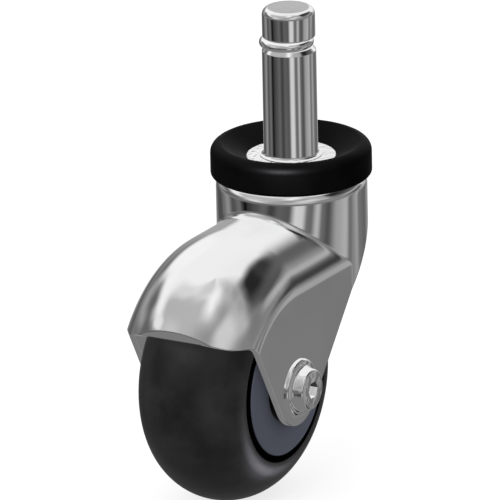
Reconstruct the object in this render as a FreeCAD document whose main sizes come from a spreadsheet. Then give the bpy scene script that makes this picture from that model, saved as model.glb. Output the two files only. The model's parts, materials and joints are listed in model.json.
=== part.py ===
import FreeCAD, Part
import math
import os
import Sketcher

# Chair castor: a swivelling hood on a plain friction stem, with one soft tyre.
# Z is the swivel axis and the origin is on it, at the seat face of the washer
# that meets the chair's leg. The wheel trails towards -X and its axle lies along Y.

V = FreeCAD.Vector

SIZES = [
    # friction stem, 7/16 in
    ("stem_radius", 5.556), ("stem_top", 31.5), ("head_radius", 5.45),
    ("head_round", 1.45), ("head_low_round", 0.35), ("groove_top", 25.3),
    ("groove_bottom", 23.2), ("groove_radius", 3.1), ("groove_lip_radius", 4.9),
    ("groove_chamfer", 0.75), ("foot_radius", 6.4), ("foot_thick", 0.2),
    ("foot_round", 0.7), ("tenon_radius", 3.98), ("tenon_fit", 0.02),
    ("rivet_radius", 5.6), ("rivet_thick", 1.57), ("rivet_round", 1.25),
    # split wire ring in the stem's groove
    ("wire_radius", 0.95), ("wire_ring_radius", 4.68), ("wire_shift", 0.12),
    ("wire_play", 0.02), ("wire_gap_angle", 46.0),
    # washers and ball races
    ("washer_thick", 1.2), ("seat_radius", 9.15), ("retainer_radius", 7.5),
    ("washer_edge", 0.2), ("race_thick", 1.1), ("race_radius", 10.9),
    ("cup_radius", 11.0), ("cup_bore_radius", 5.2), ("ball_radius", 1.5875),
    ("ball_pitch", 8.6), ("ball_play", 0.02), ("ball_count", 16),
    ("track_radius", 1.65), ("track_depth", 0.5),
    # drawn hood
    ("plate", 1.2), ("housing_radius", 15.5), ("housing_top", -4.05),
    ("housing_round", 2.3), ("recess_radius", 11.2), ("kingpin_radius", 4.05),
    ("leg_half", 15.3), ("crown_radius", 28.36), ("crown_centre", -37.6),
    ("crown_rise", 11.76), ("shoulder_radius", 4.9), ("crease_round", 1.5),
    ("hem_thick", 2.3), ("hem_half", 9.0), ("hem_low_angle", 20.0),
    ("hem_high_angle", 36.0),
    ("lip_front_x", -51.0), ("lip_front_z", -20.75), ("lip_low_x", -48.2),
    ("lip_low_z", -25.7), ("lip_bend_x", -46.3), ("lip_bend_z", -26.65),
    ("lip_bend_radius", 3.0), ("leg_corner_x", -41.7), ("leg_corner_z", -27.1),
    ("leg_corner_radius", 2.5), ("leg_end_radius", 7.94), ("rear_x", 8.35),
    ("rear_z", -13.0), ("rear_radius", 4.0), ("axle_hole_radius", 4.05),
    # rubber dust ring on the hood's cap
    ("guard_bore", 9.25), ("guard_lip", 0.9), ("guard_cavity", 11.4),
    ("guard_radius", 16.53), ("guard_crest_radius", 14.3), ("guard_crest", 2.75),
    ("guard_crest_round", 0.4), ("guard_round", 2.1), ("guard_low_round", 0.8),
    # axle screw and barrel
    ("axle_x", -25.0), ("axle_z", -40.4), ("flange_radius", 6.1),
    ("flange_thick", 1.05), ("flange_round", 0.35), ("boss_foot_radius", 4.6),
    ("boss_radius", 4.15), ("boss_height", 3.4), ("boss_round", 0.6),
    ("boss_foot_round", 0.5), ("socket_flats", 3.2), ("socket_depth", 2.0),
    ("barrel_radius", 4.0), ("barrel_bore", 3.0), ("screw_radius", 2.95),
    ("screw_end", 12.0), ("screw_end_round", 0.5), ("screw_room", 1.0),
    ("barrel_play", 0.1),
    # wheel
    ("tyre_radius", 25.4), ("tyre_inset", 0.4), ("tyre_shelf", 1.33),
    ("tyre_shoulder", 6.0), ("core_radius", 14.57), ("core_bevel", 0.3),
    ("ridge_height", 2.43), ("ridge_inset", 3.1), ("bush_wall", 1.34),
    ("axle_play", 0.06), ("bush_flange_width", 2.1), ("bush_flange_thick", 1.35),
    ("leg_gap", 0.15), ("bush_end", 0.5), ("bush_edge", 0.25),
]

doc = FreeCAD.newDocument("chair_castor")
dims = doc.addObject("Spreadsheet::Sheet", "dims")
for row, (alias, number) in enumerate(SIZES, start=1):
    dims.set("A%d" % row, alias)
    dims.set("B%d" % row, str(number))
    dims.setAlias("B%d" % row, alias)
doc.recompute()


class Size:
    """A length: its number now and the sheet expression that keeps it."""

    def __init__(self, number, text):
        self.number = float(number)
        self.text = text

    def _join(self, other, sign, number):
        return Size(number, "(%s %s %s)" % (self.text, sign, as_size(other).text))

    def __add__(self, other):
        return self._join(other, "+", self.number + as_size(other).number)

    def __sub__(self, other):
        return self._join(other, "-", self.number - as_size(other).number)

    def __mul__(self, other):
        return self._join(other, "*", self.number * as_size(other).number)

    def __truediv__(self, other):
        return self._join(other, "/", self.number / as_size(other).number)

    def __neg__(self):
        return Size(-self.number, "(-1 * %s)" % self.text)


def as_size(item):
    return item if isinstance(item, Size) else Size(item, "(%.9f)" % item)


def size(alias):
    return Size(dims.get(alias), "dims." + alias)


S = {alias: size(alias) for alias, _ in SIZES}
N = {alias: item.number for alias, item in S.items()}
ZERO = as_size(0.0)

# heights that follow from the stack of washers, races and balls
race_top = -S["washer_thick"]
race_low = race_top - S["race_thick"]
upper_track = race_low + S["track_depth"]
half_ball = S["ball_radius"] + S["ball_play"]
upper_ball_z = upper_track - half_ball
upper_cup_top = upper_ball_z - half_ball + S["track_depth"]
recess_floor = upper_cup_top - S["race_thick"]
cap_under = recess_floor - S["plate"]
lower_cup_low = cap_under - S["race_thick"]
lower_ball_z = lower_cup_low + S["track_depth"] - half_ball
lower_race_top = lower_ball_z - half_ball + S["track_depth"]
lower_race_low = lower_race_top - S["race_thick"]
rivet_top = lower_race_low - S["washer_thick"]
rivet_low = rivet_top - S["rivet_thick"]
tenon_bore = S["tenon_radius"] + S["tenon_fit"]

# widths across the wheel, from the legs inwards, and its radii, from the barrel out
bush_face = S["leg_half"] - S["plate"] - S["leg_gap"]
core_half = bush_face - S["bush_flange_thick"]
tyre_half = core_half - S["tyre_inset"]
ridge_half = core_half - S["ridge_inset"]
bush_bore = S["barrel_radius"] + S["axle_play"]
bush_radius = bush_bore + S["bush_wall"]
shelf_radius = S["core_radius"] + S["tyre_shelf"]
ridge_radius = S["core_radius"] + S["ridge_height"]
# flat sides of the hood end where its crown begins
side_radius = S["crown_centre"] + S["crown_radius"] - S["axle_z"] - S["crown_rise"]
# how far the form goes below the legs before it is trimmed
form_floor = S["axle_z"] - S["leg_end_radius"] * 2
far_out = S["crown_radius"] * 3


def new_body(label):
    body = doc.addObject("PartDesign::Body", label)
    body.Label = label
    return body


def new_sketch(body, name, plane="XZ_Plane"):
    sketch = body.newObject("Sketcher::SketchObject", name)
    origin = [f for f in body.Origin.OriginFeatures if f.Role == plane][0]
    sketch.AttachmentSupport = [(origin, "")]
    sketch.MapMode = "FlatFace"
    return sketch


def drive(sketch, kind, first, item):
    """Add one driving constraint and bind it to its sheet expression."""
    index = sketch.addConstraint(Sketcher.Constraint(kind, *first, item.number))
    sketch.setExpression("Constraints[%d]" % index, item.text)


def place_point(sketch, geometry, position, x, y):
    """Hold one point of a sketch at a driven distance from the sketch's origin."""
    for kind, axis, item in (("DistanceX", -2, x), ("DistanceY", -1, y)):
        if abs(item.number) < 1e-9:
            sketch.addConstraint(
                Sketcher.Constraint("PointOnObject", geometry, position, axis))
        else:
            drive(sketch, kind, (-1, 1, geometry, position), item)


def tangent_points(before, corner, after, radius):
    """Where an arc of the given radius meets the two sides of a corner."""
    u = (before - corner).normalize()
    v = (after - corner).normalize()
    half = math.acos(max(-1.0, min(1.0, u.dot(v)))) / 2
    reach = radius / math.tan(half)
    mid = (u + v).normalize()
    centre = corner + mid * (radius / math.sin(half))
    return corner + u * reach, corner + v * reach, centre, centre - mid * radius


def touch_point(outside, centre, radius, left):
    """Where a line from an outside point touches a circle."""
    line = outside - centre
    turn = math.acos(radius / line.Length) * (1 if left else -1)
    base = math.atan2(line.y, line.x) + turn
    return centre + V(math.cos(base), math.sin(base), 0) * radius


def add_loop(sketch, corners):
    """Closed outline of straight sides. Each corner is (x, y) or (x, y, radius),
    and (x, y, radius, "end") is an arc about (x, y) that the two sides touch."""
    points = [V(c[0].number, c[1].number, 0) for c in corners]
    count = len(corners)
    starts, ends, arcs = list(points), list(points), {}
    for i, corner in enumerate(corners):
        before, after = points[i - 1], points[(i + 1) % count]
        if len(corner) == 4:
            first = touch_point(before, points[i], corner[2].number, False)
            last = touch_point(after, points[i], corner[2].number, True)
            if (first - after).Length < (last - after).Length:
                first = touch_point(before, points[i], corner[2].number, True)
                last = touch_point(after, points[i], corner[2].number, False)
            out = ((first + last) * 0.5 - points[i]).normalize()
            arcs[i] = (first, points[i] + out * corner[2].number, last)
            ends[i], starts[i] = first, last
    for i, corner in enumerate(corners):
        if len(corner) == 3:
            before = starts[i - 1]
            after = ends[(i + 1) % count]
            first, last, centre, mid = tangent_points(
                before, points[i], after, corner[2].number)
            arcs[i] = (first, mid, last)
            ends[i], starts[i] = first, last
    lines = []
    for i in range(count):
        lines.append(sketch.addGeometry(
            Part.LineSegment(starts[i], ends[(i + 1) % count]), False))
    for i, corner in enumerate(corners):
        into, out = lines[i - 1], lines[i]
        if i not in arcs:
            sketch.addConstraint(Sketcher.Constraint("Coincident", into, 2, out, 1))
            place_point(sketch, out, 1, corner[0], corner[1])
            continue
        first, mid, last = arcs[i]
        turn = (mid - first).cross(last - mid).z
        arc = sketch.addGeometry(Part.Arc(first, mid, last), False)
        near, far = (1, 2) if turn > 0 else (2, 1)
        sketch.addConstraint(Sketcher.Constraint("Tangent", into, 2, arc, near))
        sketch.addConstraint(Sketcher.Constraint("Tangent", out, 1, arc, far))
        drive(sketch, "Radius", (arc,), corner[2])
        if len(corner) == 4:
            place_point(sketch, arc, 3, corner[0], corner[1])
            continue
        tip = sketch.addGeometry(Part.Point(points[i]), True)
        place_point(sketch, tip, 1, corner[0], corner[1])
        sketch.addConstraint(Sketcher.Constraint("PointOnObject", tip, 1, into))
        sketch.addConstraint(Sketcher.Constraint("PointOnObject", tip, 1, out))


def add_circle(sketch, x, y, radius):
    circle = sketch.addGeometry(
        Part.Circle(V(x.number, y.number, 0), V(0, 0, 1), radius.number), False)
    drive(sketch, "Radius", (circle,), radius)
    place_point(sketch, circle, 3, x, y)


def turn_profile(body, name, corners, kind="PartDesign::Revolution"):
    """Revolve an outline of (radius, height) corners about the body's Z axis."""
    sketch = new_sketch(body, name + "_profile")
    add_loop(sketch, corners)
    feature = body.newObject(kind, name)
    feature.Profile = sketch
    feature.ReferenceAxis = (sketch, ["V_Axis"])
    feature.Angle = 360.0
    sketch.Visibility = False
    return feature


def turned(label, corners):
    body = new_body(label)
    turn_profile(body, label + "_turned", corners)
    return body


def cut_track(body, label, centre_z):
    """Turn the ball track into a race."""
    sketch = new_sketch(body, label + "_track_profile")
    add_circle(sketch, S["ball_pitch"], centre_z, S["track_radius"])
    groove = body.newObject("PartDesign::Groove", label + "_track")
    groove.Profile = sketch
    groove.ReferenceAxis = (sketch, ["V_Axis"])
    groove.Angle = 360.0


def ring_corners(inner, outer, low, top, edge):
    return [(inner, low), (outer, low, edge), (outer, top, edge), (inner, top)]


# stem with its groove, its foot and the riveted tenon below it
stem = turned("stem", [
    (ZERO, rivet_low),
    (S["rivet_radius"], rivet_low, S["rivet_round"]),
    (S["rivet_radius"], rivet_top),
    (S["tenon_radius"], rivet_top),
    (S["tenon_radius"], ZERO),
    (S["foot_radius"], ZERO),
    (S["foot_radius"], S["foot_thick"]),
    (S["stem_radius"], S["foot_thick"], S["foot_round"]),
    (S["stem_radius"], S["groove_bottom"] - S["groove_chamfer"]),
    (S["groove_lip_radius"], S["groove_bottom"]),
    (S["groove_radius"], S["groove_bottom"]),
    (S["groove_radius"], S["groove_top"]),
    (S["head_radius"], S["groove_top"], S["head_low_round"]),
    (S["head_radius"], S["stem_top"], S["head_round"]),
    (ZERO, S["stem_top"]),
])

# split ring of round wire, a little to one side of the groove
grip_ring = new_body("grip_ring")
wire = new_sketch(grip_ring, "grip_ring_section")
add_circle(wire, S["wire_ring_radius"], ZERO, S["wire_radius"])
bend = grip_ring.newObject("PartDesign::Revolution", "grip_ring_bend")
bend.Profile = wire
bend.ReferenceAxis = (wire, ["V_Axis"])
bend.setExpression("Angle", "360 - dims.wire_gap_angle")
grip_ring.Placement = FreeCAD.Placement(V(0, 0, 0), FreeCAD.Rotation(V(0, 0, 1), 50.0))
grip_ring.setExpression("Placement.Base.x", "-0.5 * dims.wire_shift")
grip_ring.setExpression("Placement.Base.y", "0.866 * dims.wire_shift")
grip_ring.setExpression(
    "Placement.Base.z", "dims.groove_bottom + dims.wire_radius + dims.wire_play")

# bright washer that meets the chair's leg, and the washer over the rivet
top_washer = turned("top_washer", ring_corners(
    tenon_bore, S["seat_radius"], race_top, ZERO, S["washer_edge"]))
retaining_washer = turned("retaining_washer", ring_corners(
    tenon_bore, S["retainer_radius"], rivet_top, lower_race_low, S["washer_edge"]))

# four pressed races: two turn with the stem and two with the hood
upper_stem_race = turned("upper_stem_race", ring_corners(
    tenon_bore, S["race_radius"], race_low, race_top, S["washer_edge"]))
cut_track(upper_stem_race, "upper_stem_race", upper_track - S["track_radius"])
upper_hood_race = turned("upper_hood_race", ring_corners(
    S["cup_bore_radius"], S["cup_radius"], recess_floor, upper_cup_top,
    S["washer_edge"]))
cut_track(upper_hood_race, "upper_hood_race",
          upper_cup_top - S["track_depth"] + S["track_radius"])
lower_hood_race = turned("lower_hood_race", ring_corners(
    S["cup_bore_radius"], S["cup_radius"], lower_cup_low, cap_under,
    S["washer_edge"]))
cut_track(lower_hood_race, "lower_hood_race",
          lower_cup_low + S["track_depth"] - S["track_radius"])
lower_stem_race = turned("lower_stem_race", ring_corners(
    tenon_bore, S["race_radius"], lower_race_low, lower_race_top,
    S["washer_edge"]))
cut_track(lower_stem_race, "lower_stem_race",
          lower_race_top - S["track_depth"] + S["track_radius"])


def ball_row(label, height):
    """A full row of loose balls between two races."""
    balls = []
    count = int(N["ball_count"])
    for i in range(count):
        ball = doc.addObject("Part::Sphere", "%s_%d" % (label, i + 1))
        ball.setExpression("Radius", "dims.ball_radius")
        angle = "%d * 360 deg / dims.ball_count" % i
        ball.setExpression("Placement.Base.x", "dims.ball_pitch * cos(%s)" % angle)
        ball.setExpression("Placement.Base.y", "dims.ball_pitch * sin(%s)" % angle)
        ball.setExpression("Placement.Base.z", height.text)
        balls.append(ball)
    row = doc.addObject("Part::Compound", label)
    row.Label = label
    row.Links = balls
    return row


upper_balls = ball_row("upper_balls", upper_ball_z)
lower_balls = ball_row("lower_balls", lower_ball_z)

# rubber ring, dished towards the stem, seated on the rim of the hood's cap
dust_ring = turned("dust_ring", [
    (S["guard_bore"], -S["guard_lip"]),
    (S["guard_cavity"], -S["guard_lip"]),
    (S["guard_cavity"], S["housing_top"]),
    (S["guard_radius"], S["housing_top"], S["guard_low_round"]),
    (S["guard_radius"], S["guard_crest"], S["guard_round"]),
    (S["guard_crest_radius"], S["guard_crest"], S["guard_crest_round"]),
    (S["guard_bore"], ZERO),
])


def crown_arch(half, rise, shoulder, count=25):
    """Cross-section of the crown: a flat arc over two tighter shoulders.
    Gives (across, rise) pairs from one side of the hood to the other."""
    wide = ((half - shoulder) ** 2 + rise * rise - shoulder * shoulder)
    wide = wide / (2 * (rise - shoulder))
    spread = math.atan2(half - shoulder, wide - rise)
    steps = (count - 1) // 2
    flat_steps = 2 * steps // 3
    points = []
    for i in range(flat_steps + 1):
        a = spread * i / flat_steps
        points.append((wide * math.sin(a), rise - wide + wide * math.cos(a)))
    for i in range(1, steps - flat_steps + 1):
        a = spread + (math.pi / 2 - spread) * i / (steps - flat_steps)
        points.append((half - shoulder + shoulder * math.sin(a), shoulder * math.cos(a)))
    points[-1] = (half, 0.0)
    return [(-y, f) for y, f in reversed(points[1:])] + points


def middle(edge):
    return edge.valueAt((edge.FirstParameter + edge.LastParameter) / 2)


def crown_block(inset, floor):
    """Solid form of the crown over the wheel, inset from the outer face.
    The crown sweeps about the axle from the lip to its top and runs on level
    into the housing; flat sides stand below it down to the floor."""
    half = N["leg_half"] - inset
    ax, az, side = N["axle_x"], N["axle_z"], side_radius.number
    lift = az - N["crown_centre"]
    lip, rows, stations = 15.0, [], 16
    for i in range(stations):
        angle = math.radians(lip + (90.0 - lip) * i / (stations - 1))
        dx, dz = -math.cos(angle), math.sin(angle)
        reach = lift * dz
        top = -reach + math.sqrt(
            reach * reach - lift * lift + N["crown_radius"] ** 2) - inset
        section = crown_arch(half, top - side, N["shoulder_radius"] - inset)
        rows.append([V(ax + (side + f) * dx, y, az + (side + f) * dz)
                     for y, f in section])
    skin = Part.BSplineSurface()
    skin.interpolate(rows)
    front = skin.toShape()
    left = min(front.Edges, key=lambda e: abs(middle(e).y - half))
    right = min(front.Edges, key=lambda e: abs(middle(e).y + half))
    ends = [e for e in front.Edges if not e.isSame(left) and not e.isSame(right)]
    top_edge = max(ends, key=lambda e: middle(e).z)
    low_edge = min(ends, key=lambda e: middle(e).z)
    level = top_edge.extrude(V(-ax, 0, 0))
    faces = [front, level]
    x0, z0 = rows[0][0].x, rows[0][0].z
    for y, edge in ((half, left), (-half, right)):
        loop = [V(ax, y, az + side), V(0, y, az + side), V(0, y, floor),
                V(x0, y, floor), V(x0, y, z0)]
        lines = [Part.makeLine(a, b) for a, b in zip(loop, loop[1:])]
        faces.append(Part.Face(Part.Wire(Part.__sortEdges__([edge] + lines))))
    faces.append(Part.Face(Part.Wire(
        [low_edge, Part.makeLine(V(x0, half, z0), V(x0, -half, z0))])))
    for x, a, b in ((x0, z0, floor), (0.0, az + side, floor)):
        if x == x0:
            faces.append(Part.Face(Part.makePolygon(
                [V(x, half, a), V(x, -half, a), V(x, -half, b), V(x, half, b),
                 V(x, half, a)])))
    faces.append(Part.Face(Part.makePolygon(
        [V(x0, half, floor), V(x0, -half, floor), V(0, -half, floor),
         V(0, half, floor), V(x0, half, floor)])))
    back = [e for e in level.Edges if abs(middle(e).x) < 1e-6][0]
    sides = [Part.makeLine(V(0, half, az + side), V(0, half, floor)),
             Part.makeLine(V(0, half, floor), V(0, -half, floor)),
             Part.makeLine(V(0, -half, floor), V(0, -half, az + side))]
    faces.append(Part.Face(Part.Wire(Part.__sortEdges__([back] + sides))))
    shell = Part.makeShell(faces)
    shell.sewShape(1e-3)
    solid = Part.Solid(shell)
    if solid.Volume < 0:
        solid.reverse()
    return solid


def housing_form(inset, floor):
    """Round swivel housing with the rolled edge of its cap."""
    radius = N["housing_radius"] - inset
    top = N["housing_top"] - inset
    solid = Part.makeCylinder(radius, top - floor, V(0, 0, floor))
    rim = [e for e in solid.Edges
           if e.Curve.TypeId == "Part::GeomCircle" and abs(e.Curve.Center.z - top) < 1e-6]
    return solid.makeFillet(N["housing_round"] - inset, rim)


def press_form(inset, floor):
    """Crown and housing as one form, with the crease between them rounded."""
    radius = N["housing_radius"] - inset
    solid = crown_block(inset, floor).fuse(housing_form(inset, floor)).removeSplitter()
    crease = []
    for edge in solid.Edges:
        spots = [edge.valueAt(edge.FirstParameter
                              + (edge.LastParameter - edge.FirstParameter) * k)
                 for k in (0.02, 0.3, 0.5, 0.7, 0.98)]
        on_wall = all(abs(math.hypot(p.x, p.y) - radius) < 2e-3 for p in spots)
        rises = max(p.z for p in spots) - min(p.z for p in spots) > 0.5
        if on_wall and rises and max(p.x for p in spots) < -1e-3:
            crease.append(edge)
    return solid.makeFillet(N["crease_round"] + inset, crease)


def hood_blank_shape():
    """The drawn sheet before its edges are trimmed."""
    plate = N["plate"]
    low = form_floor.number
    outer = press_form(0.0, low)
    inner = press_form(plate, low - plate)
    # the pocket for the upper race is pressed down into the cap
    floor = recess_floor.number
    tall = N["housing_radius"]
    recess = Part.makeCylinder(N["recess_radius"], tall, V(0, 0, floor))
    under = Part.makeCylinder(N["recess_radius"] + plate, tall, V(0, 0, floor - plate))
    # the sheet is folded back on itself inside the lip
    wall = N["crown_radius"] - N["hem_thick"]
    centre = V(N["axle_x"], -N["hem_half"], N["crown_centre"])
    far = far_out.number
    fold = Part.makeCylinder(far / 2, 2 * N["hem_half"], centre, V(0, 1, 0))
    fold = fold.cut(Part.makeCylinder(wall, 2 * N["hem_half"], centre, V(0, 1, 0)))
    wedge = [V(0, 0, 0)]
    for angle in (N["hem_low_angle"], N["hem_high_angle"]):
        wedge.append(V(-far * math.cos(math.radians(angle)), 0,
                       far * math.sin(math.radians(angle))))
    wedge = [centre + p for p in wedge]
    sector = Part.Face(Part.makePolygon(wedge + [wedge[0]])).extrude(
        V(0, 2 * N["hem_half"], 0))
    fold = fold.common(sector)
    inner = inner.cut(under).cut(fold)
    return outer.cut(recess).cut(inner)


hood_blank = doc.addObject("Part::Feature", "hood_blank")
hood_blank.Shape = hood_blank_shape()

# hood: the drawn blank, trimmed to its side outline and pierced
hood = new_body("hood")
hood.BaseFeature = hood_blank
doc.recompute()


def pocket_through(body, name, sketch):
    """Cut a side-view sketch right through the hood, both ways from its middle."""
    pocket = body.newObject("PartDesign::Pocket", name)
    pocket.Profile = sketch
    pocket.SideType = "Symmetric"
    pocket.Type = "Length"
    pocket.setExpression("Length", "8 * dims.leg_half")
    return pocket


trim = new_sketch(hood, "hood_trim_outline")
back_x = S["housing_radius"] * 1.5
front_x = S["axle_x"] - S["crown_radius"] * 1.5
above = S["plate"] * 4
add_loop(trim, [
    (far_out, far_out), (-far_out, far_out), (-far_out, -far_out),
    (far_out, -far_out),
])
add_loop(trim, [
    (back_x, above),
    (front_x, above),
    (front_x, S["lip_front_z"]),
    (S["lip_front_x"], S["lip_front_z"]),
    (S["lip_low_x"], S["lip_low_z"]),
    (S["lip_bend_x"], S["lip_bend_z"], S["lip_bend_radius"]),
    (S["leg_corner_x"], S["leg_corner_z"], S["leg_corner_radius"]),
    (S["axle_x"], S["axle_z"], S["leg_end_radius"], "end"),
    (S["rear_x"], S["rear_z"], S["rear_radius"]),
    (back_x, S["rear_z"]),
])
hood_trim = pocket_through(hood, "hood_trim", trim)
doc.recompute()

bore = new_sketch(hood, "kingpin_hole_outline", "XY_Plane")
add_circle(bore, ZERO, ZERO, S["kingpin_radius"])
kingpin_hole = pocket_through(hood, "kingpin_hole", bore)

axle_holes_outline = new_sketch(hood, "axle_holes_outline")
add_circle(axle_holes_outline, S["axle_x"], S["axle_z"], S["axle_hole_radius"])
axle_holes = pocket_through(hood, "axle_holes", axle_holes_outline)


def on_axle(body, outward):
    """Lay a turned piece along the axle, its own Z towards +Y or -Y."""
    turn = FreeCAD.Rotation(V(1, 0, 0), -90.0 if outward > 0 else 90.0)
    body.Placement = FreeCAD.Placement(V(N["axle_x"], 0, N["axle_z"]), turn)
    body.setExpression("Placement.Base.x", "dims.axle_x")
    body.setExpression("Placement.Base.z", "dims.axle_z")


def cut_socket(body, label, face_z):
    """Hexagon socket in the face of an axle head, two corners level."""
    sketch = new_sketch(body, label + "_socket_outline", "XY_Plane")
    sketch.setExpression("AttachmentOffset.Base.z", face_z.text)
    reach = S["socket_flats"] / math.sqrt(3.0)
    add_loop(sketch, [(reach * math.cos(math.radians(a)), reach * math.sin(math.radians(a)))
                      for a in range(0, 360, 60)])
    socket = body.newObject("PartDesign::Pocket", label + "_socket")
    socket.Profile = sketch
    socket.setExpression("Length", "dims.socket_depth")


leg_face = S["leg_half"]
head_face = leg_face + S["boss_height"]
flange_face = leg_face + S["flange_thick"]
head_outline = [
    (S["flange_radius"], leg_face),
    (S["flange_radius"], flange_face, S["flange_round"]),
    (S["boss_foot_radius"], flange_face, S["boss_foot_round"]),
    (S["boss_radius"], head_face, S["boss_round"]),
    (ZERO, head_face),
]

# the screw's shank runs inside the barrel, and the barrel is the wheel's axle
axle_screw = turned("axle_screw", [
    (ZERO, -S["screw_end"]),
    (S["screw_radius"], -S["screw_end"], S["screw_end_round"]),
    (S["screw_radius"], leg_face),
] + head_outline)
cut_socket(axle_screw, "axle_screw", head_face)
on_axle(axle_screw, -1)

barrel_end = -(leg_face - S["barrel_play"])
axle_barrel = turned("axle_barrel", [
    (S["barrel_bore"], barrel_end),
    (S["barrel_radius"], barrel_end),
    (S["barrel_radius"], leg_face),
] + head_outline + [
    (ZERO, S["screw_end"] + S["screw_room"]),
    (S["barrel_bore"], S["screw_end"] + S["screw_room"]),
])
cut_socket(axle_barrel, "axle_barrel", head_face)
on_axle(axle_barrel, 1)

# wheel core, with the ridge that keys the tyre
core_seat = bush_radius + S["tenon_fit"]
core_edge = core_half - S["core_bevel"]
core_rim = S["core_radius"] - S["core_bevel"]
wheel_core = turned("wheel_core", [
    (core_seat, -core_half), (core_rim, -core_half),
    (S["core_radius"], -core_edge), (S["core_radius"], -ridge_half),
    (ridge_radius, -ridge_half), (ridge_radius, ridge_half),
    (S["core_radius"], ridge_half), (S["core_radius"], core_edge),
    (core_rim, core_half), (core_seat, core_half),
])
on_axle(wheel_core, 1)

# flanged nylon bushes, pressed in from both sides
bush_outline = [
    (bush_bore, S["bush_end"]),
    (bush_radius, S["bush_end"]),
    (bush_radius, core_half),
    (bush_radius + S["bush_flange_width"], core_half),
    (bush_radius + S["bush_flange_width"], bush_face, S["bush_edge"]),
    (bush_bore, bush_face),
]
hub_bush_left = turned("hub_bush_left", bush_outline)
on_axle(hub_bush_left, 1)
hub_bush_right = turned("hub_bush_right", bush_outline)
on_axle(hub_bush_right, -1)


def tyre_profile(sketch):
    """Round tread: a wide arc between two shoulder arcs, over a flat side ring."""
    rise = S["tyre_radius"] - shelf_radius
    half, small = tyre_half, S["tyre_shoulder"]
    crown = (half * half + rise * rise - half * small * 2) / ((rise - small) * 2)
    cx, cz = half.number - small.number, shelf_radius.number
    hub_z = S["tyre_radius"].number - crown.number
    lean = math.atan2(cx, cz - hub_z)
    meet_x = crown.number * math.sin(lean)
    meet_z = hub_z + crown.number * math.cos(lean)
    # the sketch's X is the radius and its Y the width
    corners = [
        (shelf_radius, -half), (S["core_radius"], -half),
        (S["core_radius"], -ridge_half), (ridge_radius, -ridge_half),
        (ridge_radius, ridge_half), (S["core_radius"], ridge_half),
        (S["core_radius"], half), (shelf_radius, half)]
    points = [V(a.number, b.number, 0) for a, b in corners]
    lines = [sketch.addGeometry(Part.LineSegment(a, b), False)
             for a, b in zip(points, points[1:])]
    for i, line in enumerate(lines):
        place_point(sketch, line, 1, corners[i][0], corners[i][1])
        if i:
            sketch.addConstraint(Sketcher.Constraint("Coincident", lines[i - 1], 2, line, 1))
    place_point(sketch, lines[-1], 2, corners[-1][0], corners[-1][1])

    def arc(centre, radius, start, end):
        """An arc, turned anticlockwise from its start to its end."""
        ring = Part.Circle(centre, V(0, 0, 1), radius)
        a = math.atan2(start.y - centre.y, start.x - centre.x)
        b = math.atan2(end.y - centre.y, end.x - centre.x)
        return sketch.addGeometry(Part.ArcOfCircle(ring, a, b), False)

    low = arc(V(cz, -cx, 0), small.number, points[0], V(meet_z, -meet_x, 0))
    tread = arc(V(hub_z, 0, 0), crown.number,
                V(meet_z, -meet_x, 0), V(meet_z, meet_x, 0))
    high = arc(V(cz, cx, 0), small.number, V(meet_z, meet_x, 0), points[-1])
    sketch.addConstraint(Sketcher.Constraint("Coincident", low, 1, lines[0], 1))
    sketch.addConstraint(Sketcher.Constraint("Coincident", high, 2, lines[-1], 2))
    sketch.addConstraint(Sketcher.Constraint("Tangent", low, 2, tread, 1))
    sketch.addConstraint(Sketcher.Constraint("Tangent", tread, 2, high, 1))
    place_point(sketch, low, 3, shelf_radius, -(half - small))
    place_point(sketch, high, 3, shelf_radius, half - small)
    drive(sketch, "Radius", (tread,), crown)


tyre = new_body("tyre")
tyre_sketch = new_sketch(tyre, "tyre_section")
tyre_profile(tyre_sketch)
tyre_turned = tyre.newObject("PartDesign::Revolution", "tyre_turned")
tyre_turned.Profile = tyre_sketch
tyre_turned.ReferenceAxis = (tyre_sketch, ["V_Axis"])
tyre_turned.Angle = 360.0
on_axle(tyre, 1)

doc.recompute()

NODES = [
    stem, grip_ring, top_washer, upper_stem_race, lower_stem_race, retaining_washer,
    hood, dust_ring, upper_hood_race, lower_hood_race, upper_balls, lower_balls,
    axle_screw, axle_barrel, wheel_core, tyre, hub_bush_left, hub_bush_right,
]

for item in doc.Objects:
    if "Invalid" in item.State or "Error" in item.State:
        raise RuntimeError("%s failed: %s" % (item.Name, item.State))
for node in NODES:
    if node.Shape.isNull() or not node.Shape.isValid():
        raise RuntimeError("%s has no valid shape" % node.Label)

os.makedirs("parts", exist_ok=True)
for node in NODES:
    node.Shape.exportStep("parts/%s.step" % node.Label)
    box = node.Shape.BoundBox
    print("%-18s solids %d volume %9.2f  x %.2f..%.2f y %.2f..%.2f z %.2f..%.2f" % (
        node.Label, len(node.Shape.Solids), node.Shape.Volume,
        box.XMin, box.XMax, box.YMin, box.YMax, box.ZMin, box.ZMax))
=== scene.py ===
"""A hooded chair castor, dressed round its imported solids.

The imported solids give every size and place. This script lathes, bends and
smooths the pieces that show, gives each one its finish, and sets the castor
in a pale studio seen from the photograph's angle. Sizes here are in
millimetres until a mesh is finished, and Blender's own units are metres.
"""

from __future__ import annotations

import json
import logging
import math
from dataclasses import dataclass, field
from enum import Enum
from typing import Iterable, Sequence

import bmesh
import bpy
from mathutils import Matrix, Vector

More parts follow.
